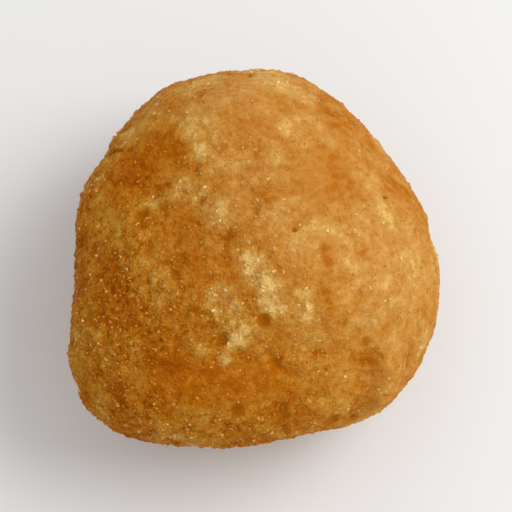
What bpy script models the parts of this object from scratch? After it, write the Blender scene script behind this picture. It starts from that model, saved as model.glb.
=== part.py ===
"""One hand-pressed lump of jaggery: a single solid of raw cane sugar, standing on a small flat foot.

The lump is a ball that palms and fingers have pressed in from many sides. Each press leaves a soft flat,
and the flats run into one another over rounded shoulders. A full corner is left where no finger pressed.
Metres, +Z up. The origin is the middle of the base, and +Y is the longest way across.
"""

import math

import bmesh
import bpy
from mathutils import Vector, noise

MM = 0.001

WIDTH = 52.8 * MM  # X
LENGTH = 56.9 * MM  # Y
HEIGHT = 47.0 * MM  # Z

BALL_RADIUS = 33.0 * MM
SHOULDER_SHARPNESS = 13.0  # higher leaves crisper shoulders between the pressed flats
BALL_SUBDIVISIONS = 5
FOOT_CUT = 1.3 * MM  # how much of the ball's underside the foot takes off
FOOT_SNAP = 0.12 * MM  # a vertex this close to the foot's plane is cut as if on it

# Each press: azimuth and elevation of its direction in degrees, and how far from the middle it stops.
SIDE_PRESSES = (
    (-12, -2, 27.8 * MM),
    (22, 8, 24.0 * MM),
    (43, 12, 24.6 * MM),
    (70, 6, 30.3 * MM),
    (95, 14, 27.1 * MM),
    (120, 4, 31.8 * MM),
    (146, 8, 25.9 * MM),
    (181, 2, 25.6 * MM),
    (-83, -14, 27.3 * MM),
    (-46, 2, 30.8 * MM),
)
UPPER_PRESSES = (
    (8, 46, 27.0 * MM),
    (62, 49, 26.6 * MM),
    (124, 46, 27.6 * MM),
    (174, 44, 26.4 * MM),
    (-130, 52, 28.6 * MM),
    (-82, 44, 27.0 * MM),
    (-34, 48, 27.4 * MM),
    (25, 80, 25.4 * MM),
    (-160, 78, 25.6 * MM),
)
LOWER_PRESSES = (
    (12, -44, 27.0 * MM),
    (68, -42, 27.8 * MM),
    (121, -48, 27.0 * MM),
    (171, -40, 27.4 * MM),
    (-134, -50, 28.8 * MM),
    (-78, -52, 26.6 * MM),
    (-25, -46, 27.4 * MM),
    (90, -84, 25.8 * MM),
)

# Each dent or swelling: azimuth and elevation, the radius it fades over, and its height, below zero for a dent.
DENTS = (
    (178, 62, 7.5 * MM, -0.9 * MM),
    (140, 33, 6.0 * MM, -0.8 * MM),
    (-105, 52, 6.0 * MM, -0.7 * MM),
    (187, -6, 6.5 * MM, -0.9 * MM),
    (28, 48, 6.5 * MM, -0.6 * MM),
    (75, -12, 8.0 * MM, -1.0 * MM),
    (112, -30, 5.5 * MM, -0.8 * MM),
    (-40, -38, 6.5 * MM, -0.9 * MM),
    (5, -28, 6.0 * MM, -0.7 * MM),
)
SWELLINGS = (
    (10, 28, 6.0 * MM, 0.8 * MM),
    (-60, 66, 6.5 * MM, 0.7 * MM),
    (98, 56, 6.0 * MM, 0.6 * MM),
    (-146, 8, 6.5 * MM, 0.9 * MM),
    (160, -24, 5.5 * MM, 0.8 * MM),
    (48, -24, 6.0 * MM, 0.8 * MM),
    (-92, 4, 5.5 * MM, 0.5 * MM),
)

# Uneven ground between the presses: how wide its waves are and how high.
UNEVENNESS = (
    (11.0 * MM, 0.45 * MM),
    (5.0 * MM, 0.30 * MM),
)

JAGGERY_COLOUR = (0.50, 0.205, 0.030, 1.0)
JAGGERY_ROUGHNESS = 0.62


def clear_scene():
    """Remove whatever the new file starts with."""
    for item in list(bpy.data.objects):
        bpy.data.objects.remove(item)


def direction(azimuth, elevation):
    """Unit vector at this azimuth from +X and this elevation, both in degrees."""
    turn = math.radians(azimuth)
    rise = math.radians(elevation)
    level = math.cos(rise)
    return Vector((level * math.cos(turn), level * math.sin(turn), math.sin(rise)))


def pressed_radius(way, presses):
    """Distance from the middle to the surface along way: the ball cut softly by every press."""
    closeness = BALL_RADIUS**-SHOULDER_SHARPNESS
    for facing, stop in presses:
        lean = way.dot(facing)
        if lean > 0:
            closeness += (lean / stop) ** SHOULDER_SHARPNESS
    return closeness ** (-1 / SHOULDER_SHARPNESS)


def bump_height(point, way, bumps):
    """Sum of the dents and swellings at a point, each fading with distance from its middle."""
    total = 0.0
    for facing, reach, height in bumps:
        if way.dot(facing) > 0:
            offset = (point - facing * point.length).length
            total += height * math.exp(-((offset / reach) ** 2))
    return total


def uneven_height(point):
    """Height of the uneven ground at a point."""
    return sum(height * noise.noise(point / wave) for wave, height in UNEVENNESS)


def shape_lump(mesh):
    """Move each vertex of a unit ball out to the pressed surface."""
    presses = [
        (direction(azimuth, elevation), stop)
        for azimuth, elevation, stop in SIDE_PRESSES + UPPER_PRESSES + LOWER_PRESSES
    ]
    bumps = [
        (direction(azimuth, elevation), reach, height)
        for azimuth, elevation, reach, height in DENTS + SWELLINGS
    ]
    for vertex in mesh.verts:
        way = vertex.co.normalized()
        point = way * pressed_radius(way, presses)
        vertex.co = point + way * (bump_height(point, way, bumps) + uneven_height(point))


def cut_foot(mesh):
    """Slice the underside level and close it with one flat face."""
    level = min(vertex.co.z for vertex in mesh.verts) + FOOT_CUT
    cut = bmesh.ops.bisect_plane(
        mesh,
        geom=mesh.verts[:] + mesh.edges[:] + mesh.faces[:],
        dist=FOOT_SNAP,
        plane_co=(0, 0, level),
        plane_no=(0, 0, 1),
        clear_inner=True,
    )
    for item in cut["geom_cut"]:
        if isinstance(item, bmesh.types.BMVert):
            item.co.z = level
    rim = [edge for edge in mesh.edges if edge.is_boundary]
    bmesh.ops.contextual_create(mesh, geom=rim)


def fit_to_size(mesh):
    """Scale to the driving width, length and height, with the origin at the middle of the base."""
    low = [min(vertex.co[axis] for vertex in mesh.verts) for axis in range(3)]
    high = [max(vertex.co[axis] for vertex in mesh.verts) for axis in range(3)]
    origin = Vector(((low[0] + high[0]) / 2, (low[1] + high[1]) / 2, low[2]))
    sizes = (WIDTH, LENGTH, HEIGHT)
    factors = Vector(sizes[axis] / (high[axis] - low[axis]) for axis in range(3))
    for vertex in mesh.verts:
        vertex.co = (vertex.co - origin) * factors


def jaggery_material():
    """Dry raw sugar, golden brown and matt."""
    material = bpy.data.materials.new("jaggery")
    material.use_nodes = True
    shader = material.node_tree.nodes["Principled BSDF"]
    shader.inputs["Base Color"].default_value = JAGGERY_COLOUR
    shader.inputs["Roughness"].default_value = JAGGERY_ROUGHNESS
    shader.inputs["Metallic"].default_value = 0.0
    material.diffuse_color = JAGGERY_COLOUR
    return material


def build_lump(collection):
    """Model the lump as one closed solid."""
    mesh = bmesh.new()
    bmesh.ops.create_icosphere(mesh, subdivisions=BALL_SUBDIVISIONS, radius=1.0)
    shape_lump(mesh)
    cut_foot(mesh)
    fit_to_size(mesh)
    bmesh.ops.recalc_face_normals(mesh, faces=mesh.faces)
    data = bpy.data.meshes.new("jaggery_lump")
    mesh.to_mesh(data)
    mesh.free()
    data.materials.append(jaggery_material())
    data.shade_smooth()
    data.set_sharp_from_angle(angle=math.radians(40))
    lump = bpy.data.objects.new("jaggery_lump", data)
    collection.objects.link(lump)


def main():
    clear_scene()
    collection = bpy.data.collections.new("jaggery_block")
    bpy.context.scene.collection.children.link(collection)
    build_lump(collection)


main()
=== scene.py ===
"""A hand-pressed lump of jaggery, finished.

The frame holds one plain solid. Here its surface is grown again as dry raw sugar: a fine crumb with
pale crystalline crust, smooth amber patches where syrup set, pores and short cracks. Loose sugar
crystals stand on it. All sizes are in metres, +Z up.
"""

import logging
import math
from collections.abc import Iterable, Mapping, Sequence
from dataclasses import dataclass, field
from enum import Enum

import bmesh
import bpy
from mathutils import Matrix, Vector


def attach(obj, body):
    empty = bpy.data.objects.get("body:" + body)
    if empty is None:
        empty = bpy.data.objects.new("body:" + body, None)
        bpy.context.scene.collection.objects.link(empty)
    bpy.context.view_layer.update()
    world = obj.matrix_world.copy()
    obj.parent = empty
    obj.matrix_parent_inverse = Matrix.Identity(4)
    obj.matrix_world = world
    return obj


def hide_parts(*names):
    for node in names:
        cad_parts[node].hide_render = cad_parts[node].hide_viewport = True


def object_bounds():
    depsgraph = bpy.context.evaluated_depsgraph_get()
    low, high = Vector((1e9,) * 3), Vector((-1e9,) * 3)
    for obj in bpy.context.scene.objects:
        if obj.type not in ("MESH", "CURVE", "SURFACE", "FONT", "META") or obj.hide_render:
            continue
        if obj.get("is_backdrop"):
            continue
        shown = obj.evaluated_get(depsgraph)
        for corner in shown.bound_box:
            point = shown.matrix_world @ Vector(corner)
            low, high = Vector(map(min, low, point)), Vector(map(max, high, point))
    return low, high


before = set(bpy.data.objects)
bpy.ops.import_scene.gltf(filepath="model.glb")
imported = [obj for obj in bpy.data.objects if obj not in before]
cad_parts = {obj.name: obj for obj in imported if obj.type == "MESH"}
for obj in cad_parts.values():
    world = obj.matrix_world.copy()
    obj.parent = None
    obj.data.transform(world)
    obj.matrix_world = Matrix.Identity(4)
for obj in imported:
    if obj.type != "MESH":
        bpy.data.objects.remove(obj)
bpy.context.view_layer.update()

LOGGER = logging.getLogger("jaggery")

MM = 0.001
CAD_NODE = "jaggery_lump"
BODY = "root"
CHART = "OFBake"  # name of the UV map that every piece carries
PATTERN_STRIDE = (0.137, -0.211, 0.173)  # how far apart two patterns of one kind are read

Colour = tuple[float, float, float]
Place = tuple[float, float]  # azimuth from +X and elevation, in degrees, from the lump's middle


class Layer(Enum):
    """What the surface stores at each point for its finish to read."""

    CRUST = "crust"  # pale crystalline sugar, with painted light toward the lit side and painted shade opposite it; below zero on a stain or on painted shade
    GLAZE = "glaze"  # smooth amber, where syrup set
    PORE = "pore"  # depth of a pore, crack or crease, where the finish paints shade
    RISE = "rise"  # from 0 in the valleys of the crumb to 1 on its tops, which the finish paints as shade and light
    SYRUP_AND_SHADE = "syrup"  # how far syrup has soaked in, and painted shade on the left
    GRIT = "grit"  # how coarse the crumb is
    TONE = "tone"  # how pale each crystal is


class Signal:
    """An output socket. Arithmetic on it adds Math nodes to its tree."""

    def __init__(self, graph: "Graph", socket: bpy.types.NodeSocket) -> None:
        """Wrap one socket.

        Args:
            graph: The tree that the socket is in.
            socket: The output socket.
        """
        self.graph = graph
        self.socket = socket

    def _maths(self, operation: str, first: "Number", second: "Number" = 0.0) -> "Signal":
        """Add one Math node.

        Args:
            operation: The node's operation.
            first: Its first value.
            second: Its second value.

        Returns:
            The node's result.
        """
        return self.graph.node("ShaderNodeMath", {"operation": operation}, {0: first, 1: second})

    def __add__(self, other: "Number") -> "Signal":
        """Sum."""
        return self._maths("ADD", self, other)

    def __radd__(self, other: "Number") -> "Signal":
        """Sum, from the right."""
        return self._maths("ADD", other, self)

    def __sub__(self, other: "Number") -> "Signal":
        """Difference."""
        return self._maths("SUBTRACT", self, other)

    def __rsub__(self, other: "Number") -> "Signal":
        """Difference, from the right."""
        return self._maths("SUBTRACT", other, self)

    def __mul__(self, other: "Number") -> "Signal":
        """Product."""
        return self._maths("MULTIPLY", self, other)

    def __rmul__(self, other: "Number") -> "Signal":
        """Product, from the right."""
        return self._maths("MULTIPLY", other, self)

    def __truediv__(self, other: "Number") -> "Signal":
        """Quotient."""
        return self._maths("DIVIDE", self, other)

    def __rtruediv__(self, other: "Number") -> "Signal":
        """Quotient, from the right."""
        return self._maths("DIVIDE", other, self)

    def __pow__(self, power: "Number") -> "Signal":
        """Power."""
        return self._maths("POWER", self, power)

    def at_least(self, low: "Number") -> "Signal":
        """The larger of this and low."""
        return self._maths("MAXIMUM", self, low)

    def at_most(self, high: "Number") -> "Signal":
        """The smaller of this and high."""
        return self._maths("MINIMUM", self, high)

    def above(self, level: "Number") -> "Signal":
        """1 where this is over level, else 0."""
        return self._maths("GREATER_THAN", self, level)

    def rounded_down(self) -> "Signal":
        """The whole number below this."""
        return self._maths("FLOOR", self)

    def fade(self, start: "Number", end: "Number") -> "Signal":
        """Ease from 0 at start to 1 at end, flat outside them.

        Args:
            start: The value that gives 0.
            end: The value that gives 1. It may be below start.

        Returns:
            The eased value.
        """
        settings = {"interpolation_type": "SMOOTHSTEP"}
        values = {"Value": self, "From Min": start, "From Max": end}
        return self.graph.node("ShaderNodeMapRange", settings, values, "Result")

    def output(self, name: str) -> "Signal":
        """Another output of the node that this one comes from."""
        return Signal(self.graph, self.socket.node.outputs[name])

    def split(self) -> tuple["Signal", "Signal", "Signal"]:
        """The three parts of a vector or colour."""
        x = self.graph.node("ShaderNodeSeparateXYZ", {}, {0: self}, "X")
        return x, x.output("Y"), x.output("Z")


Number = Signal | float | int
Value = Signal | float | int | bool | str | Sequence[float] | bpy.types.ID


class Graph:
    """A node tree that is written as expressions."""

    def __init__(self, tree: bpy.types.NodeTree) -> None:
        """Wrap a tree.

        Args:
            tree: The tree to add nodes to.
        """
        self.tree = tree

    def node(
        self,
        kind: str,
        settings: Mapping[str, object],
        values: Mapping[int | str, Value],
        output: int | str = 0,
    ) -> Signal:
        """Add a node.

        Args:
            kind: The node's type.
            settings: Its settings, which are set before its sockets.
            values: A number, a vector or a link for each input, by index or by name.
            output: The output that is wanted, by index or by name.

        Returns:
            That output.
        """
        made = self.tree.nodes.new(kind)
        for name, setting in settings.items():
            if name == "stops":
                self._set_stops(made.color_ramp, setting)
            else:
                setattr(made, name, setting)
        for key, value in values.items():
            socket = self._pick(made.inputs, key)
            if isinstance(value, Signal):
                self.tree.links.new(value.socket, socket)
            else:
                socket.default_value = value
        return Signal(self, self._pick(made.outputs, output))

    @staticmethod
    def _set_stops(ramp: bpy.types.ColorRamp, stops: Sequence[tuple[float, Colour]]) -> None:
        """Give a colour ramp these stops.

        Args:
            ramp: A new ramp, which has two stops.
            stops: Each stop's position and colour, in order.
        """
        for _ in stops[2:]:
            ramp.elements.new(0.5)
        for element, (position, colour) in zip(ramp.elements, stops):
            element.position = position
            element.color = opaque(colour)

    @staticmethod
    def _pick(sockets: Sequence[bpy.types.NodeSocket], key: int | str) -> bpy.types.NodeSocket:
        """Find a socket by its index, or by its name among those in use.

        Args:
            sockets: A node's inputs or its outputs.
            key: The index or the name.

        Returns:
            The socket.
        """
        if isinstance(key, int):
            return sockets[key]
        return next(socket for socket in sockets if socket.name == key and socket.enabled)

    def vector(self, operation: str, first: Value, second: Value) -> Signal:
        """Combine two vectors into one.

        Args:
            operation: The Vector Math operation.
            first: The first vector.
            second: The second vector.

        Returns:
            The resulting vector.
        """
        settings = {"operation": operation}
        return self.node("ShaderNodeVectorMath", settings, {0: first, 1: second}, "Vector")

    def scaled(self, vector: Value, factor: Number) -> Signal:
        """A vector times a number."""
        values = {0: vector, "Scale": factor}
        return self.node("ShaderNodeVectorMath", {"operation": "SCALE"}, values, "Vector")

    def unit(self, vector: Value) -> Signal:
        """A vector's direction, one long."""
        return self.node("ShaderNodeVectorMath", {"operation": "NORMALIZE"}, {0: vector}, "Vector")

    def measure(self, operation: str, first: Value, second: Value) -> Signal:
        """Turn two vectors into a number.

        Args:
            operation: DISTANCE or DOT_PRODUCT.
            first: The first vector.
            second: The second vector.

        Returns:
            The number.
        """
        settings = {"operation": operation}
        return self.node("ShaderNodeVectorMath", settings, {0: first, 1: second}, "Value")

    def mix(self, factor: Number, low: Value, high: Value) -> Signal:
        """Blend two colours.

        Args:
            factor: 0 gives low and 1 gives high.
            low: The first colour.
            high: The second colour.

        Returns:
            The blended colour.
        """
        values = {"Factor": factor, "A": opaque(low), "B": opaque(high)}
        return self.node("ShaderNodeMix", {"data_type": "RGBA"}, values, "Result")

    def ramp(self, value: Signal, stops: Sequence[tuple[float, Colour]]) -> Signal:
        """Colour by value.

        Args:
            value: The value, from 0 to 1.
            stops: Each stop's value and colour, in order.

        Returns:
            The colour.
        """
        return self.node("ShaderNodeValToRGB", {"stops": stops}, {"Fac": value}, "Color")

    def noise(self, place: Signal, size: Number, detail: float = 2.0, roughness: float = 0.5) -> Signal:
        """Smooth noise about 0.5.

        Args:
            place: Where to read it.
            size: How wide its waves are.
            detail: How many finer octaves it holds.
            roughness: How strong the finer octaves are.

        Returns:
            The noise.
        """
        values = {"Vector": place, "Scale": 1.0 / size, "Detail": detail, "Roughness": roughness}
        return self.node("ShaderNodeTexNoise", {}, values, "Fac")

    def cells(self, place: Signal, size: Number, feature: str = "F1") -> Signal:
        """Distance to the middle of the nearest cell, or to its edge, as a share of the cells' size.

        Args:
            place: Where to read it.
            size: How far apart the cells' middles lie.
            feature: The Voronoi feature.

        Returns:
            The distance.
        """
        values = {"Vector": place, "Scale": 1.0 / size}
        return self.node("ShaderNodeTexVoronoi", {"feature": feature}, values, "Distance")

    def shifted(self, place: Signal, seed: int) -> Signal:
        """The place moved far off, so that a pattern read there is unlike its neighbours'."""
        return self.vector("ADD", place, tuple(step * seed for step in PATTERN_STRIDE))

    def warped(self, place: Signal, size: Number, reach: Number) -> Signal:
        """The place pushed about by noise.

        Args:
            place: The place.
            size: How wide the noise's waves are.
            reach: How far it pushes.

        Returns:
            The moved place.
        """
        push = self.noise(place, size).output("Color")
        centred = self.vector("SUBTRACT", push, (0.5, 0.5, 0.5))
        return self.vector("ADD", place, self.scaled(centred, reach))


def opaque(colour: Value) -> Value:
    """A colour with its alpha, or a link as it is."""
    return (*colour, 1.0) if isinstance(colour, tuple) and len(colour) == 3 else colour


class Growth(Graph):
    """A Geometry Nodes tree with named inputs, which grows one plain mesh."""

    def __init__(self, name: str) -> None:
        """Start an empty tree.

        Args:
            name: The name of the tree and of the piece that it grows.
        """
        super().__init__(bpy.data.node_groups.new(name, "GeometryNodeTree"))
        self.name = name
        self.inputs: dict[str, Value] = {}
        self.tree.interface.new_socket("Mesh", in_out="OUTPUT", socket_type="NodeSocketGeometry")
        self.entry = self.tree.nodes.new("NodeGroupInput")

    def named(self, name: str, value: Value, kind: str = "NodeSocketFloat") -> Signal:
        """Add a named input.

        Args:
            name: Its name.
            value: What the modifier sets it to.
            kind: The type of its socket.

        Returns:
            The input, to be used inside the tree.
        """
        self.tree.interface.new_socket(name, in_out="INPUT", socket_type=kind)
        self.inputs[name] = value
        return Signal(self, self.entry.outputs[name])

    def place(self) -> Signal:
        """Where each element is."""
        return self.node("GeometryNodeInputPosition", {}, {})

    def solid(self, name: str, source: bpy.types.Object) -> Signal:
        """The mesh of another object, which is a named input."""
        values = {"Object": self.named(name, source, "NodeSocketObject"), "As Instance": False}
        return self.node("GeometryNodeObjectInfo", {}, values, "Geometry")

    def combined(self, **parts: Number) -> Signal:
        """A vector made of its parts X, Y and Z, where a missing one is 0."""
        return self.node("ShaderNodeCombineXYZ", {}, parts)

    def store(self, geometry: Signal, name: str, value: Value, **settings: str) -> Signal:
        """Store a named attribute.

        Args:
            geometry: The geometry to store it on.
            name: The attribute's name.
            value: Its value.
            **settings: The data type and domain, where they aren't a number on each point.

        Returns:
            The geometry with the attribute.
        """
        values = {"Geometry": geometry, "Name": name, "Value": value}
        return self.node("GeometryNodeStoreNamedAttribute", settings, values)

    def stored(self, name: str, **settings: str) -> Signal:
        """Read a stored attribute."""
        return self.node("GeometryNodeInputNamedAttribute", settings, {"Name": name}, "Attribute")

    def charted(self, geometry: Signal, u: Signal, v: Signal) -> Signal:
        """Store a chart of each face's corners as the mesh's UV map."""
        flat = self.combined(X=u, Y=v)
        return self.store(geometry, CHART, flat, data_type="FLOAT2", domain="CORNER")

    def random(self, low: float, high: float, seed: int) -> Signal:
        """A random number for each element.

        Args:
            low: The least.
            high: The most.
            seed: The fixed seed.

        Returns:
            The number.
        """
        values = {"Min": low, "Max": high, "Seed": seed}
        return self.node("FunctionNodeRandomValue", {}, values, "Value")

    def random_turn(self, seed: int) -> Signal:
        """A random rotation for each element."""
        values = {"Min": (0.0, 0.0, 0.0), "Max": (math.tau, math.tau, math.tau), "Seed": seed}
        return self.node("FunctionNodeRandomValue", {"data_type": "FLOAT_VECTOR"}, values, "Value")

    def grow(self, geometry: Signal, material: bpy.types.Material, smooth: bool) -> bpy.types.Object:
        """End the tree, evaluate it once and keep its result as a plain mesh.

        Args:
            geometry: What the tree has made.
            material: The material that it wears.
            smooth: Whether its faces are shaded smooth.

        Returns:
            The new object, with no modifier.
        """
        worn = self.named("Material", material, "NodeSocketMaterial")
        real = self.node("GeometryNodeRealizeInstances", {}, {"Geometry": geometry})
        shaded = self.node("GeometryNodeSetShadeSmooth", {}, {"Geometry": real, "Shade Smooth": smooth})
        dressed = self.node("GeometryNodeSetMaterial", {}, {"Geometry": shaded, "Material": worn})
        leave = self.tree.nodes.new("NodeGroupOutput")
        self.tree.links.new(dressed.socket, leave.inputs["Mesh"])

        host = bpy.data.objects.new(self.name, bpy.data.meshes.new(self.name))
        bpy.context.scene.collection.objects.link(host)
        modifier = host.modifiers.new(self.name, "NODES")
        modifier.node_group = self.tree
        for item in self.tree.interface.items_tree:
            if item.in_out == "INPUT":
                modifier[item.identifier] = self.inputs[item.name]
        depsgraph = bpy.context.evaluated_depsgraph_get()
        grown = bpy.data.meshes.new_from_object(
            host.evaluated_get(depsgraph), preserve_all_data_layers=True, depsgraph=depsgraph
        )
        host.modifiers.clear()
        host.data = grown
        return host


class Finish(Graph):
    """A material whose shader maths is written as expressions."""

    def __init__(self, name: str) -> None:
        """Start a material with one Principled shader.

        Args:
            name: The material's name.
        """
        self.material = bpy.data.materials.new(name)
        self.material.use_nodes = True
        super().__init__(self.material.node_tree)
        self.shader = self.tree.nodes["Principled BSDF"]

    def place(self) -> Signal:
        """Object coordinates."""
        return self.node("ShaderNodeTexCoord", {}, {}, "Object")

    def layer(self, layer: Layer) -> Signal:
        """A layer that the mesh stores."""
        return self.node("ShaderNodeAttribute", {"attribute_name": layer.value}, {}, "Fac")

    def feed(self, **values: Value) -> None:
        """Set or link the shader's sockets.

        Args:
            **values: A value or a link for each socket, by its name with _ for each space.
        """
        for name, value in values.items():
            socket = self.shader.inputs[name.replace("_", " ")]
            if isinstance(value, Signal):
                self.tree.links.new(value.socket, socket)
            else:
                socket.default_value = opaque(value) if name.endswith("Color") else value

    def bump(self, height: Signal, distance: float, strength: Number) -> Signal:
        """Relief too fine for the mesh.

        Args:
            height: The relief, from 0 to 1.
            distance: How deep it is.
            strength: How much of it shows.

        Returns:
            The bumped normal.
        """
        values = {"Height": height, "Distance": distance, "Strength": strength}
        return self.node("ShaderNodeBump", {}, values)


@dataclass(frozen=True)
class RawSugar:
    """Dry golden-brown raw sugar, mottled with pale crystalline spots."""

    # From the darkest crumb, through amber and golden brown, to pale sugar.
    shades: tuple[tuple[float, Colour], ...] = (
        (0.00, (0.310, 0.080, 0.002)),
        (0.22, (0.450, 0.138, 0.004)),
        (0.42, (0.542, 0.230, 0.039)),
        (0.58, (0.600, 0.303, 0.074)),
        (0.75, (0.713, 0.422, 0.114)),
        (1.00, (0.950, 0.603, 0.224)),
    )
    # Painted shade in pores, cracks and creases.
    painted_hollow_shade: Colour = (0.440, 0.125, 0.002)
    syrup_and_shade_tint: Colour = (1.03, 0.91, 0.32)  # what is left of the colour where syrup has soaked in, partly painted shade
    blotch_size: float = 2.6 * MM
    fleck_size: float = 0.85 * MM
    grain_size: float = 0.42 * MM
    dust_size: float = 0.22 * MM
    grain_relief: float = 0.42 * MM
    roughness: float = 0.62
    # Where plain crumb stands along the shades, and how far each thing moves it. Rise and relief paint
    # shade in the crumb's valleys and light on its tops.
    plain_shade: float = 0.42
    crust_shade: float = 0.30
    glaze_shade: float = -0.19
    rise_painted_shading: float = 0.18
    fleck_shade: float = 0.36
    tint_shade: float = 0.08
    relief_painted_shading: float = 0.15

    def material(self) -> bpy.types.Material:
        """Build the material.

        Returns:
            The material for the lump's surface.
        """
        finish = Finish("raw_sugar")
        crust, glaze, pore, rise, syrup, grit = (
            finish.layer(layer)
            for layer in (Layer.CRUST, Layer.GLAZE, Layer.PORE, Layer.RISE, Layer.SYRUP_AND_SHADE, Layer.GRIT)
        )
        place = finish.place()
        blotch = finish.noise(finish.shifted(place, 1), self.blotch_size, 5.0, 0.62) - 0.5
        fleck = finish.noise(finish.shifted(place, 2), self.fleck_size, 3.0, 0.6) - 0.5
        dust = finish.noise(finish.shifted(place, 4), self.dust_size, 2.0, 0.6) - 0.5
        grain = finish.cells(finish.warped(place, 0.35 * MM, 0.22 * MM), self.grain_size)
        tint, odd, _ = grain.output("Color").split()
        tint = tint - 0.5
        relief = 0.25 - grain * grain * (0.3 + odd * 0.9) + fleck * 1.3 + dust * 1.0

        # A coarse crumb is more mottled, and set syrup is calmer.
        # The crumb's valleys and low relief get painted shade, and its tops get painted light.
        mottle = blotch * (grit * 0.6 + 0.5) + (rise - 0.5) * self.rise_painted_shading
        close = fleck * self.fleck_shade + tint * self.tint_shade + relief * self.relief_painted_shading
        mottle = (mottle + close * (grit * 0.9 + 0.5)) * (1 - glaze * 0.3)
        shade = self.plain_shade + crust * self.crust_shade + glaze * self.glaze_shade + mottle
        colour = finish.ramp(shade, self.shades)
        # Syrup, and painted shade on the left, deepen the crumb but leave the pale crust dry.
        soaked = finish.vector("MULTIPLY", colour, self.syrup_and_shade_tint)
        colour = finish.mix(syrup * (1 - crust.fade(0.15, 0.9) * 0.9), colour, soaked)
        # Painted shade in the pores, cracks and creases.
        colour = finish.mix(pore.fade(0.02, 0.70) * 0.96, colour, self.painted_hollow_shade)

        finish.feed(
            Base_Color=colour,
            Roughness=(1 - glaze * 0.25) * self.roughness + tint * 0.2,
            Normal=finish.bump(relief, self.grain_relief, (1 - glaze * 0.4) * (grit * 0.6 + 0.4)),
            Specular_IOR_Level=0.03,
            Subsurface_Weight=0.45,
            Subsurface_Radius=(1.0, 0.42, 0.12),
            Subsurface_Scale=0.8 * MM,
        )
        return finish.material


@dataclass(frozen=True)
class Crystal:
    """Loose sugar crystals, from deep amber to almost white."""

    deep: Colour = (0.420, 0.122, 0.002)
    dark: Colour = (0.530, 0.185, 0.008)
    golden: Colour = (0.650, 0.310, 0.052)
    white: Colour = (0.930, 0.610, 0.235)
    roughness: float = 0.45
    sparkle: float = 0.12  # the shader's specular level

    def material(self, name: str) -> bpy.types.Material:
        """Build the material.

        Args:
            name: The material's name.

        Returns:
            The material, which reads each crystal's tone.
        """
        finish = Finish(name)
        tone = finish.layer(Layer.TONE)
        colour = finish.mix(tone.fade(-0.30, 0.12), self.deep, self.dark)
        colour = finish.mix(tone.fade(0.10, 0.65), colour, self.golden)
        colour = finish.mix(tone.fade(0.62, 1.05), colour, self.white)
        finish.feed(
            Base_Color=colour,
            Roughness=self.roughness + (1 - tone) * 0.2,
            Specular_IOR_Level=self.sparkle,
            Subsurface_Weight=0.30,
            Subsurface_Radius=(1.0, 0.5, 0.2),
            Subsurface_Scale=0.5 * MM,
        )
        return finish.material


@dataclass(frozen=True)
class PaleFloor:
    """A matt, nearly white studio floor."""

    colour: Colour = (0.80, 0.80, 0.795)
    shade: Colour = (0.78, 0.78, 0.778)
    cloud_size: float = 0.12
    roughness: float = 0.85

    def material(self) -> bpy.types.Material:
        """Build the material.

        Returns:
            The material for the floor.
        """
        finish = Finish("pale_floor")
        cloud = finish.noise(finish.place(), self.cloud_size, 3.0)
        colour = finish.mix(cloud, self.colour, self.shade)
        finish.feed(Base_Color=colour, Roughness=self.roughness)
        return finish.material


class Kind(Enum):
    """What a mark on the lump is."""

    CRUST = "crust"  # pale crystalline sugar
    STAIN_AND_SHADE = "stain"  # darker, coarser crumb, and painted shade along the rims and in a crease
    GLAZE = "glaze"  # smooth amber
    PORE = "pore"  # a pit, or the bottom of a crease, with painted shade in it
    FORM = "form"  # a knob, ridge or dent that keeps its surroundings' colour


@dataclass(frozen=True)
class Mark:
    """A place on the lump that differs from its surroundings, round or drawn out along a line."""

    kind: Kind
    start: Place
    end: Place  # the same as the start on a round mark
    reach: float  # how far from the line it fades out
    height: float  # how far it stands out, below zero for a hollow
    strength: float  # how strongly it shows, which a form doesn't


def marks_of(kind: Kind, *strokes: tuple[Place, Place, float, float, float]) -> tuple[Mark, ...]:
    """Marks of one kind.

    Args:
        kind: What they are.
        *strokes: Each mark's start, end, reach and height in millimetres, and strength.

    Returns:
        The marks.
    """
    return tuple(
        Mark(kind, start, end, reach * MM, height * MM, strength)
        for start, end, reach, height, strength in strokes
    )


def direction(azimuth: float, elevation: float) -> Vector:
    """Unit vector at an azimuth from +X and an elevation, both in degrees."""
    turn, rise = math.radians(azimuth), math.radians(elevation)
    return Vector((math.cos(rise) * math.cos(turn), math.cos(rise) * math.sin(turn), math.sin(rise)))


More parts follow.
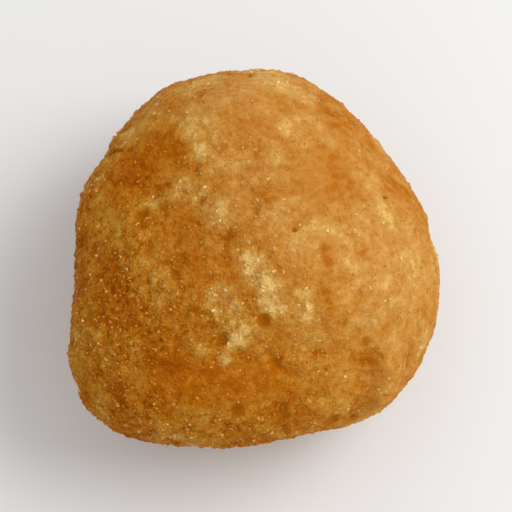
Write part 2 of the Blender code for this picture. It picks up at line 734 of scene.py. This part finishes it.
GLAZE_MARKS = marks_of(
    Kind.GLAZE,
    ((164, 42), (142, 52), 7.0, -0.15, 0.56),
    ((-168, 61), (-118, 64), 6.5, -0.20, 0.60),
    ((-119, 30), (-86, 32), 6.0, -0.12, 1.0),
    ((23, 68), (36, 58), 5.5, -0.10, 0.5),
    ((-44, 27), (-44, 27), 4.5, 0.0, 0.4),
)
CRUST_MARKS = marks_of(
    Kind.CRUST,
    ((134, 64), (134, 64), 2.3, 0.12, 1.2),
    ((162, 63), (163, 70), 3.0, 0.08, 0.85),
    ((172, 74), (-164, 79), 3.1, 0.08, 0.9),
    ((130, 70), (95, 80), 5.0, 0.05, 0.4),
    ((-107, 75), (-90, 69), 2.9, 0.05, 1.0),
    ((-90, 69), (-79, 59), 3.3, 0.05, 1.25),
    ((-81, 61), (-81, 61), 2.3, 0.08, 1.3),
    ((-111, 57), (-97, 49), 4.0, 0.06, 0.8),
    ((-98, 46), (-98, 46), 3.1, 0.15, 1.5),
    ((-112, 41), (-112, 41), 1.7, 0.10, 1.0),
    ((-102, 40), (-102, 40), 1.7, 0.10, 1.1),
    ((-117, 54), (-117, 54), 2.3, 0.05, 0.7),
    ((-127, 53), (-127, 53), 1.9, 0.05, 0.55),
    ((-63, 58), (-64, 51), 3.0, 0.0, 0.75),
    ((-69, 50), (-66, 42), 3.0, 0.0, 0.55),
    ((-51, 71), (-28, 70), 3.8, 0.0, 0.60),
    ((-14, 67), (-15, 61), 3.4, 0.04, 0.60),
    ((-19, 58), (-33, 50), 4.2, 0.0, 0.55),
    ((19, 47), (-1, 45), 3.4, 0.06, 0.80),
    ((-3, 51), (-12, 43), 3.6, 0.0, 0.6),
    ((-8, 37), (-27, 37), 7.2, 0.25, 0.55),
    ((-16, 35), (-16, 35), 6.0, 0.0, 0.62),
    ((-65, 57), (-65, 57), 2.6, 0.0, 0.55),
    ((-36, 36), (-37, 32), 3.0, 0.0, 0.50),
    ((-109, 18), (-100, 18), 3.2, 0.0, 0.45),
    ((-4, 29), (-4, 29), 5.0, 0.0, 0.5),
    ((-14, 36), (-14, 36), 13.0, 0.0, 0.40),
    ((-34, 39), (-43, 38), 3.6, 0.05, 0.6),
    ((-42, 27), (-50, 14), 3.2, 0.05, 0.5),
    ((4, 78), (-29, 83), 3.4, 0.0, 0.4),
    ((70, 72), (70, 72), 2.0, 0.0, 0.6),
    ((71, 60), (61, 51), 2.6, 0.12, 0.75),
    ((61, 51), (46, 53), 2.3, 0.12, 0.60),
    ((72, 34), (58, 36), 4.5, 0.0, 0.35),
    ((128, 48), (122, 58), 4.6, 0.0, 0.75),
    ((152, 32), (133, 37), 5.0, 0.0, 0.55),
    ((108, 50), (94, 46), 4.0, 0.0, 0.45),
    ((-155, 46), (-140, 49), 3.4, 0.05, 0.65),
    ((160, 26), (-178, 32), 3.8, 0.05, 0.35),
    ((-168, 22), (-173, 26), 3.4, 0.05, 0.35),
    ((173, 52), (173, 52), 1.9, 0.15, 1.2),
    ((-112, 10), (-96, 10), 3.2, 0.0, 0.5),
    ((-142, 9), (-137, 6), 3.0, 0.0, 0.4),
)
STAIN_AND_SHADE_MARKS = marks_of(
    Kind.STAIN_AND_SHADE,
    ((158, 42), (145, 48), 6.0, 0.0, 0.35),
    # Painted shade along the upper-right rim.
    ((52, 36), (14, 26), 9.0, 0.0, 0.65),
    ((30, 10), (30, 10), 14.0, 0.0, 0.75),
    # Painted shade along the left rim and the lower left.
    ((-155, 37), (-143, 40), 6.5, 0.0, 0.50),
    ((-178, 14), (-178, 14), 12.0, 0.0, 0.60),
    ((-130, -2), (-130, -2), 11.0, 0.0, 0.60),
    # Painted shade along the bottom rim.
    ((-97, 10), (-76, 6), 8.0, 0.0, 0.45),
    # Small darker dents and patches.
    ((-128, 49), (-116, 49), 3.0, -0.10, 0.40),
    ((-137, 78), (-114, 75), 2.6, -0.05, 0.40),
    ((43, 85), (43, 85), 2.6, -0.05, 0.40),
    ((12, 57), (21, 60), 3.0, -0.05, 0.40),
    ((-19, 52), (-19, 52), 2.4, -0.10, 0.45),
    ((-49, 54), (-49, 54), 2.8, -0.10, 0.45),
    ((-131, 37), (-120, 33), 3.4, -0.05, 0.40),
    # Darker patches low on the left and at the bottom.
    ((-133, 16), (-124, 16), 4.6, 0.0, 0.50),
    ((-77, 19), (-70, 13), 5.0, 0.0, 0.60),
    # Painted shade in the crease at the lower right.
    ((-51, 28), (-60, 8), 3.2, 0.0, 0.45),
    # Painted shade toward the lower-right rim.
    ((-32, 18), (-32, 18), 5.0, 0.0, 0.40),
    ((-48, -4), (-48, -4), 10.0, 0.0, 0.40),
)
PORE_MARKS = marks_of(
    Kind.PORE,
    ((-86, 53), (-86, 53), 1.6, -0.50, 1.1),
    ((-105, 45), (-105, 45), 1.4, -0.40, 1.1),
    ((179, 50), (179, 50), 1.5, -0.45, 1.1),
    ((176, 58), (176, 58), 1.3, -0.30, 0.65),
    ((171, 72), (171, 72), 1.3, -0.30, 0.65),
    ((-30, 64), (-30, 64), 1.6, -0.20, 0.55),
    ((-36, 61), (-36, 61), 1.9, -0.25, 0.55),
    # Painted shade along the lower-right crease, with no depth of its own.
    ((-52, 27), (-60, 9), 2.0, 0.0, 0.20),
    ((-85, 43), (-82, 37), 1.2, -0.30, 0.40),
    ((-82, 37), (-78, 34), 1.2, -0.35, 0.40),
    ((-96, 23), (-96, 23), 1.4, -0.50, 1.0),
    ((-81, 20), (-81, 20), 1.5, -0.35, 0.7),
    ((-67, 13), (-67, 13), 1.7, -0.35, 0.7),
    ((-48, 33), (-48, 33), 1.4, -0.25, 0.5),
    ((-140, 55), (-140, 55), 1.2, -0.20, 0.45),
    ((-122, 40), (-122, 40), 1.2, -0.25, 0.5),
)
FORM_MARKS = marks_of(
    Kind.FORM,
    ((-146, 10), (-146, 10), 2.6, 0.60, 1.0),
    ((-139, 3), (-139, 3), 1.9, 0.40, 1.0),
    ((-127, 8), (-127, 8), 1.8, 0.35, 1.0),
    ((-154, 22), (-154, 22), 1.8, 0.30, 1.0),
    ((-66, 26), (-66, 26), 5.0, 0.45, 1.0),
    ((-51, 28), (-60, 8), 3.0, -0.90, 1.0),
    ((-43, 25), (-50, 10), 3.4, 0.60, 1.0),
    ((-72, 40), (-48, 36), 3.0, -0.30, 1.0),
    ((-10, 62), (18, 42), 4.0, -0.25, 1.0),
    ((176, 53), (176, 53), 4.0, -0.35, 1.0),
)
CROWN_MARKS = GLAZE_MARKS + CRUST_MARKS + STAIN_AND_SHADE_MARKS + PORE_MARKS + FORM_MARKS


@dataclass
class Lump:
    """The lump's surface: the frame's solid grown again as crumbly raw sugar."""

    finish: RawSugar = field(default_factory=RawSugar)
    name: str = "sugar_lump"
    quads_per_side: int = 128
    middle_height: float = 23.5 * MM
    cast_from: float = 100.0 * MM  # how far out the rays start that find the solid
    merge_gap: float = 0.01 * MM
    mark_radius: float = 25.0 * MM  # nominal radius that turns the marks' angles into lengths
    wave_size: float = 9.0 * MM
    wave_height: float = 0.60 * MM
    crumb_size: float = 3.2 * MM
    crumb_height: float = 0.40 * MM
    cobble_size: float = 1.35 * MM
    cobble_height: float = 0.38 * MM
    grain_size: float = 0.75 * MM
    grain_height: float = 0.24 * MM
    pore_spacing: float = 4.4 * MM
    pore_depth: float = 0.42 * MM
    pore_share: float = 0.45  # share of the places for a pore that have one
    crack_spacing: float = 15.0 * MM
    crack_depth: float = 0.9 * MM
    crust_size: float = 7.0 * MM  # size of the patches of crust away from the marks
    glaze_size: float = 8.0 * MM  # size of the patches of glaze away from the marks
    speckle_size: float = 2.3 * MM  # size of the pale spots that the crust breaks up into
    break_size: float = 1.9 * MM  # size of the gaps in the marks' crust
    raggedness: float = 1.3
    painted_light_bias: float = 0.15  # painted light: how much paler the lit side is painted, and how much darker the side opposite it
    marked_side: Place = (-90.0, 73.0)  # the middle of the marks
    painted_light_side: Place = (-5.0, 25.0)  # where the painted light is strongest
    syrup_and_shade_side: Place = (-122.0, 0.0)  # most syrup and painted shade
    syrup_and_shade_shoulder: Place = (176.0, 26.0)  # a smaller patch of syrup and painted shade
    gritty_side: Place = (-145.0, 0.0)  # coarsest crumb
    marks: tuple[Mark, ...] = CROWN_MARKS

    def build(self) -> bpy.types.Object:
        """Grow the surface.

        Returns:
            The finished piece.
        """
        growth = Growth(self.name)
        ball, u, v = self._ball(growth)
        geometry = self._on_frame(growth, ball)
        height, layers = self._relief(growth)
        normal = growth.node("GeometryNodeInputNormal", {}, {}, "Normal")
        offset = growth.scaled(normal, height)
        for layer, value in layers.items():
            geometry = growth.store(geometry, layer.value, value)
        geometry = growth.node("GeometryNodeSetPosition", {}, {"Geometry": geometry, "Offset": offset})
        geometry = growth.charted(self._stand(growth, geometry), u, v)
        return growth.grow(geometry, self.finish.material(), smooth=True)

    def _ball(self, growth: Growth) -> tuple[Signal, Signal, Signal]:
        """A cube with many faces, and a chart that lays its six sides out three by two.

        Args:
            growth: The tree.

        Returns:
            The cube, and the chart's two coordinates.
        """
        count = growth.named("Vertices per Side", self.quads_per_side + 1, "NodeSocketInt")
        values = {"Size": (2.0, 2.0, 2.0), "Vertices X": count, "Vertices Y": count, "Vertices Z": count}
        cube = growth.node("GeometryNodeMeshCube", {}, values, "Mesh")
        unfolded = cube.output("UV Map")
        settings = {"data_type": "FLOAT_VECTOR", "domain": "FACE"}
        middle = growth.node("GeometryNodeFieldOnDomain", settings, {"Value": unfolded})
        u, v, _ = unfolded.split()
        mid_u, mid_v, _ = middle.split()
        # The unfolded cube is a cross, four squares high: four sides in its middle column, and one to
        # each side of the third.
        squares = 4
        inset = 0.125
        column = ((mid_u - inset) * squares).rounded_down()
        row = (mid_v * squares).rounded_down()
        along = (u - inset) * squares - column
        across = v * squares - row
        beside = (column - 1) * (column - 1)
        new_column = (1 - beside) * (row - 3 * row.above(2.5)) + beside * (column * 0.5 + 1)
        new_row = (beside + row.above(2.5)).at_most(1.0)
        gap = 0.01
        new_u = (new_column + gap + along * (1 - 2 * gap)) / 3
        new_v = (new_row + gap + across * (1 - 2 * gap)) / 2
        return cube, new_u, new_v

    def _on_frame(self, growth: Growth, ball: Signal) -> Signal:
        """Lay the ball's points on the frame's solid, smoothed.

        Args:
            growth: The tree.
            ball: The cube with many faces.

        Returns:
            The geometry on the solid.
        """
        shape = growth.solid("Solid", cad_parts[CAD_NODE])
        values = {"Geometry": shape, "Distance": self.merge_gap}
        merged = growth.node("GeometryNodeMergeByDistance", {}, values)
        smooth = growth.node("GeometryNodeSubdivisionSurface", {}, {"Mesh": merged, "Level": 2})
        # The tangent evens out the faces between a side's middle and its corners.
        angles = growth.scaled(growth.place(), math.pi / 4)
        even = growth.node("ShaderNodeVectorMath", {"operation": "TANGENT"}, {0: angles})
        way = growth.unit(even)
        middle = growth.combined(Z=growth.named("Middle Height", self.middle_height))
        values = {
            "Target Geometry": smooth,
            "Source Position": growth.vector("ADD", middle, growth.scaled(way, self.cast_from)),
            "Ray Direction": growth.scaled(way, -1.0),
            "Ray Length": self.cast_from,
        }
        hit = growth.node("GeometryNodeRaycast", {}, values, "Hit Position")
        return growth.node("GeometryNodeSetPosition", {}, {"Geometry": ball, "Position": hit})

    def _relief(self, growth: Growth) -> tuple[Signal, dict[Layer, Signal]]:
        """Height of the crumb, pores and marks, and the layers that the finish reads.

        Args:
            growth: The tree.

        Returns:
            The height and the layers.
        """
        place = growth.place()
        bent = growth.warped(place, 5.0 * MM, 3.0 * MM)
        marks = self._drawn(growth, place)
        way = self._way(growth, place)

        facing = self._turned_to(growth, way, self.marked_side)
        hidden = facing.fade(0.75, 0.35)
        rear = facing.fade(0.30, -0.20)
        grit = self._turned_to(growth, way, self.gritty_side).fade(-0.6, 0.9).at_least(rear * 0.9)
        # Syrup soaking, partly painted shade: deeper and less blue toward the left and lower left.
        syrup = self._turned_to(growth, way, self.syrup_and_shade_side).fade(-0.3, 0.95)
        syrup = syrup.at_least(self._turned_to(growth, way, self.syrup_and_shade_shoulder).fade(0.45, 0.98))
        crust = self._crust(growth, place, bent, marks, hidden, grit)
        film = growth.noise(growth.shifted(bent, 5), self.glaze_size, 2.0).fade(0.58, 0.68)
        glaze = (film * hidden * 0.8).at_least(marks[Kind.GLAZE])
        glaze = glaze * (1 - crust.at_least(0.0).at_most(1.0))
        # Painted light and shade: paler toward the lit side, darker opposite it.
        dry = self._turned_to(growth, way, self.painted_light_side) * self.painted_light_bias

        wave = growth.noise(bent, growth.named("Wave Size", self.wave_size)) - 0.5
        crumb_size = growth.named("Crumb Size", self.crumb_size)
        crumb = growth.noise(growth.shifted(bent, 7), crumb_size, 3.0, 0.55) - 0.5
        cobble_size = growth.named("Cobble Size", self.cobble_size)
        cobble = 0.45 - growth.cells(growth.warped(place, 1.5 * MM, 0.8 * MM), cobble_size)
        grain_size = growth.named("Grain Size", self.grain_size)
        grain = growth.noise(growth.shifted(place, 9), grain_size, 2.0, 0.6) - 0.5
        rough = 1 - glaze * 0.45
        pores = self._pores(growth, place) * rough
        cracks = self._cracks(growth, place) * hidden.fade(0.7, 1.0)

        # Noise less a half swings by up to a half, so it is doubled to reach its named height.
        swell = crumb * growth.named("Crumb Height", self.crumb_height) * 2
        fine = cobble * growth.named("Cobble Height", self.cobble_height)
        fine = fine + grain * growth.named("Grain Height", self.grain_height) * 2
        height = wave * growth.named("Wave Height", self.wave_height) * 2
        height = height + swell * (1 + rear * 0.5 - glaze * 0.5)
        height = height + fine * rough * (0.6 + grit * 0.7 + crust * 0.2 + marks[Kind.STAIN_AND_SHADE] * 0.7)
        height = height - pores * self.pore_depth - cracks * self.crack_depth + marks[Kind.FORM]
        return height, {
            Layer.CRUST: crust + dry,
            Layer.GLAZE: glaze,
            Layer.PORE: pores.at_least(marks[Kind.PORE]).at_least(cracks),
            Layer.RISE: (crumb * 1.2 + cobble * 0.9 + grain * 1.0) * rough + 0.5,
            Layer.SYRUP_AND_SHADE: syrup,
            Layer.GRIT: grit,
        }

    def _crust(
        self,
        growth: Growth,
        place: Signal,
        bent: Signal,
        marks: Mapping[Kind, Signal],
        hidden: Signal,
        grit: Signal,
    ) -> Signal:
        """How much pale sugar shows at each point, below zero on a stain or on painted shade.

        Args:
            growth: The tree.
            place: Where the point is.
            bent: The same, pushed about.
            marks: The strongest mark of each kind.
            hidden: 1 away from the marked side.
            grit: How coarse the crumb is.

        Returns:
            The crust.
        """
        patch = growth.noise(growth.shifted(bent, 3), self.crust_size, 2.0, 0.5).fade(0.46, 0.66)
        spread = patch * (hidden * 0.7 + 0.15)
        speckle = growth.noise(growth.shifted(place, 17), self.speckle_size, 5.0, 0.68) - 0.5
        ragged = (1 - marks[Kind.CRUST].at_most(1.0) * 0.5) * (grit * 0.7 + 0.65) * self.raggedness
        broken = growth.noise(growth.shifted(place, 19), self.break_size, 3.0, 0.6).fade(0.34, 0.62)
        marked = marks[Kind.CRUST] * (broken * 0.75 + 0.45)
        crust = spread.at_least(marked) + speckle * ragged - 0.10
        # Stains and painted shade push the crust below zero.
        return crust.at_least(0.0) - marks[Kind.STAIN_AND_SHADE]

    def _pores(self, growth: Growth, place: Signal) -> Signal:
        """Small pores scattered over the crumb, from 0 to 1 at their bottoms.

        Args:
            growth: The tree.
            place: Where the point is.

        Returns:
            The depth of the pore at the point.
        """
        spacing = growth.warped(place, 0.9 * MM, 0.5 * MM)
        distance = growth.cells(growth.shifted(spacing, 11), self.pore_spacing)
        chance, width, _ = distance.output("Color").split()
        return distance.fade(0.07 + width * 0.12, 0.03) * chance.above(1 - self.pore_share)

    def _cracks(self, growth: Growth, place: Signal) -> Signal:
        """Short cracks that come and go, from 0 to 1 at their bottoms.

        Args:
            growth: The tree.
            place: Where the point is.

        Returns:
            The depth of the crack at the point.
        """
        spacing = growth.warped(growth.warped(place, 7.0 * MM, 7.0 * MM), 1.5 * MM, 1.5 * MM)
        line = growth.cells(growth.shifted(spacing, 13), self.crack_spacing, "DISTANCE_TO_EDGE")
        here = growth.noise(growth.shifted(place, 15), 8.0 * MM, 2.0).fade(0.54, 0.64)
        return line.fade(0.032, 0.004) * here

    def _drawn(self, growth: Growth, place: Signal) -> dict[Kind, Signal]:
        """How strongly the marks show at each point.

        Args:
            growth: The tree.
            place: Where the point is.

        Returns:
            The strongest mark of each kind and, under FORM, the sum of all heights.
        """
        ragged = growth.warped(growth.warped(place, 3.0 * MM, 1.6 * MM), 0.9 * MM, 0.9 * MM)
        round_edged = growth.warped(growth.warped(place, 2.0 * MM, 0.9 * MM), 0.8 * MM, 0.6 * MM)
        ways = dict.fromkeys(Kind, self._way(growth, ragged))
        ways[Kind.PORE] = self._way(growth, round_edged)
        shown: dict[Kind, Signal] = {}
        total: Number = 0.0
        for mark in self.marks:
            strength = self._nearness(growth, ways[mark.kind], mark)
            total = strength * mark.height + total
            if mark.kind is not Kind.FORM:
                strength = strength * mark.strength
                shown[mark.kind] = strength.at_least(shown.get(mark.kind, 0.0))
        shown[Kind.FORM] = total
        return shown

    def _way(self, growth: Growth, place: Signal) -> Signal:
        """The direction of a place from the lump's middle."""
        return growth.unit(growth.vector("SUBTRACT", place, (0.0, 0.0, self.middle_height)))

    def _turned_to(self, growth: Growth, way: Signal, side: Place) -> Signal:
        """How near a direction is to a side: 1 at its middle, -1 opposite it."""
        return growth.measure("DOT_PRODUCT", way, tuple(direction(*side)))

    def _nearness(self, growth: Growth, way: Signal, mark: Mark) -> Signal:
        """How near a direction is to a mark, from 0 outside it to 1 at its line.

        Args:
            growth: The tree.
            way: The direction from the lump's middle.
            mark: The mark.

        Returns:
            The nearness.
        """
        start, end = direction(*mark.start), direction(*mark.end)
        line = end - start
        nearest: Value = tuple(start)
        if line.length > 0:
            from_start = growth.vector("SUBTRACT", way, tuple(start))
            share = growth.measure("DOT_PRODUCT", from_start, tuple(line / line.length_squared))
            along = growth.scaled(tuple(line), share.at_least(0.0).at_most(1.0))
            nearest = growth.vector("ADD", along, tuple(start))
        distance = growth.measure("DISTANCE", way, nearest) * self.mark_radius
        return distance.fade(mark.reach, mark.reach * 0.1)

    def _stand(self, growth: Growth, geometry: Signal) -> Signal:
        """Keep every point on or above the ground.

        Args:
            growth: The tree.
            geometry: The lump.

        Returns:
            The lump, flat where it stands.
        """
        x, y, z = growth.place().split()
        place = growth.combined(X=x, Y=y, Z=z.at_least(0.0))
        return growth.node("GeometryNodeSetPosition", {}, {"Geometry": geometry, "Position": place})


@dataclass
class Dusting:
    """Loose sugar crystals that stand on the lump, denser on its crust."""

    name: str
    finish: Crystal
    spacing: float
    density: float  # crystals to the square metre where they stand thickest
    smallest: float
    largest: float
    seed: int
    everywhere: float = 0.55  # share of the density that stands where there is no crust
    sunk: float = 0.32  # how deep a crystal sits, as a share of its size
    paleness: float = 0.0  # how much paler than the crust's own crystals
    clearance: float = 1.2 * MM  # none stands lower than this
    shape: tuple[float, float, float] = (1.0, 0.8, 1.25)
    chart_rows: int = 128
    chart_gap: float = 0.1  # margin round each crystal on the chart, as a share of its cell

    def build(self, surface: bpy.types.Object) -> bpy.types.Object:
        """Scatter the crystals.

        Args:
            surface: The lump that they stand on.

        Returns:
            The finished piece.
        """
        growth = Growth(self.name)
        ground = growth.solid("Surface", surface)
        crust, glaze, pore, grit = (
            growth.stored(layer.value) for layer in (Layer.CRUST, Layer.GLAZE, Layer.PORE, Layer.GRIT)
        )
        share = self.everywhere * (grit * 0.4 + 0.8) + crust * 0.10 - glaze * 0.5 - pore
        _, _, height = growth.place().split()
        values = {
            "Mesh": ground,
            "Distance Min": growth.named("Spacing", self.spacing),
            "Density Max": growth.named("Density", self.density),
            "Density Factor": share.at_least(0.0).at_most(1.0) * height.above(self.clearance),
            "Seed": self.seed,
        }
        settings = {"distribute_method": "POISSON"}
        points = growth.node("GeometryNodeDistributePointsOnFaces", settings, values, "Points")
        normal = points.output("Normal")
        # A crystal is as pale as the crust under it, painted light and shade included.
        tone = crust * 0.47 + growth.random(self.paleness, self.paleness + 0.35, self.seed + 1)
        tone = tone + growth.random(0.0, 0.75, self.seed + 4) ** 2 * grit
        points = growth.store(points, Layer.TONE.value, tone)
        size = growth.random(self.smallest, self.largest, self.seed + 2)
        sink = growth.scaled(normal, size * -self.sunk)
        points = growth.node("GeometryNodeSetPosition", {}, {"Geometry": points, "Offset": sink})

        cube = growth.node("GeometryNodeMeshCube", {}, {"Size": self.shape}, "Mesh")
        unfolded = cube.output("UV Map")
        crystal = growth.store(cube, "cell", unfolded, data_type="FLOAT2", domain="CORNER")
        turn = growth.random_turn(self.seed + 3)
        values = {"Points": points, "Instance": crystal, "Rotation": turn, "Scale": size}
        crystals = growth.node("GeometryNodeInstanceOnPoints", {}, values)
        index = growth.node("GeometryNodeInputIndex", {}, {})
        crystals = growth.store(crystals, "number", index, domain="INSTANCE")
        crystals = growth.node("GeometryNodeRealizeInstances", {}, {"Geometry": crystals})
        crystals = self._laid_out(growth, crystals)
        return growth.grow(crystals, self.finish.material(self.name), smooth=False)

    def _laid_out(self, growth: Growth, crystals: Signal) -> Signal:
        """Give each crystal a cell of its own on one square chart.

        Args:
            growth: The tree.
            crystals: All crystals.

        Returns:
            The crystals with their chart.
        """
        number = growth.stored("number")
        u, v, _ = growth.stored("cell", data_type="FLOAT_VECTOR").split()
        row = (number / self.chart_rows).rounded_down()
        column = number - row * self.chart_rows
        inner = 1 - 2 * self.chart_gap
        new_u = (column + self.chart_gap + u * inner) / self.chart_rows
        new_v = (row + self.chart_gap + v * inner) / self.chart_rows
        return growth.charted(crystals, new_u, new_v)


@dataclass
class Studio:
    """The floor, lights and camera."""

    floor_side: float = 1.6
    floor_drop: float = 0.02 * MM  # how far under the lump's foot it lies
    sky_strength: float = 0.69
    lamp_place: tuple[float, float, float] = (0.26, 0.03, 0.417)
    lamp_side: float = 0.26
    lamp_power: float = 1.30  # in watts
    lens: float = 150.0  # in millimetres
    elevation: float = 73.0  # in degrees
    distance: float = 0.308

    def build(self) -> None:
        """Set the stage, light it and place the camera."""
        self._floor()
        self._world()
        self._lamp()
        self._camera()

    def _floor(self) -> None:
        """Lay the floor just under the lump."""
        mesh = bmesh.new()
        bmesh.ops.create_grid(mesh, x_segments=2, y_segments=2, size=self.floor_side / 2)
        data = bpy.data.meshes.new("floor")
        mesh.to_mesh(data)
        mesh.free()
        for vertex in data.vertices:
            vertex.co.z = -self.floor_drop
        data.materials.append(PaleFloor().material())
        floor = bpy.data.objects.new("floor", data)
        bpy.context.scene.collection.objects.link(floor)
        floor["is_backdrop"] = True

    def _world(self) -> None:
        """Soft even light from all around."""
        world = bpy.data.worlds.new("studio")
        world.use_nodes = True
        light = world.node_tree.nodes["Background"]
        light.inputs["Color"].default_value = (1.0, 1.0, 1.0, 1.0)
        light.inputs["Strength"].default_value = self.sky_strength
        bpy.context.scene.world = world
        bpy.context.scene.view_settings.view_transform = "Standard"

    def _lamp(self) -> None:
        """Hang a square soft lamp that faces the lump."""
        data = bpy.data.lights.new("key", "AREA")
        data.size = self.lamp_side
        data.energy = self.lamp_power
        lamp = bpy.data.objects.new("key", data)
        lamp.location = self.lamp_place
        lamp.rotation_euler = Vector(self.lamp_place).to_track_quat("Z", "Y").to_euler()
        bpy.context.scene.collection.objects.link(lamp)

    def _camera(self) -> None:
        """Look down on the lump from the front."""
        low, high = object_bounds()
        middle = (Vector(low) + Vector(high)) / 2
        data = bpy.data.cameras.new("camera")
        data.lens = self.lens
        data.clip_start = 0.01
        camera = bpy.data.objects.new("camera", data)
        back = direction(-90.0, self.elevation)
        camera.location = middle + back * self.distance
        camera.rotation_euler = back.to_track_quat("Z", "Y").to_euler()
        bpy.context.scene.collection.objects.link(camera)
        bpy.context.scene.camera = camera


def declare(pieces: Iterable[bpy.types.Object]) -> None:
    """Tie the pieces to the frame and report each.

    Args:
        pieces: The finished pieces.
    """
    for piece in pieces:
        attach(piece, BODY)
        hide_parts(CAD_NODE)
        piece.data.calc_loop_triangles()
        LOGGER.info("%s: %d triangles", piece.name, len(piece.data.loop_triangles))


def main() -> None:
    """Build the lump, its loose crystals and the studio."""
    logging.basicConfig(level=logging.INFO, format="%(name)s: %(message)s")
    lump = Lump().build()
    fine = Dusting(
        name="fine_crystals",
        finish=Crystal(),
        spacing=0.36 * MM,
        density=3.2e6,
        smallest=0.18 * MM,
        largest=0.36 * MM,
        seed=20,
    )
    coarse = Dusting(
        name="coarse_crystals",
        finish=Crystal(roughness=0.35, sparkle=0.3),
        spacing=0.9 * MM,
        density=0.6e6,
        smallest=0.30 * MM,
        largest=0.46 * MM,
        seed=40,
        everywhere=0.28,
        paleness=0.34,
    )
    declare((lump, fine.build(lump), coarse.build(lump)))
    Studio().build()


if __name__ == "__main__":
    main()
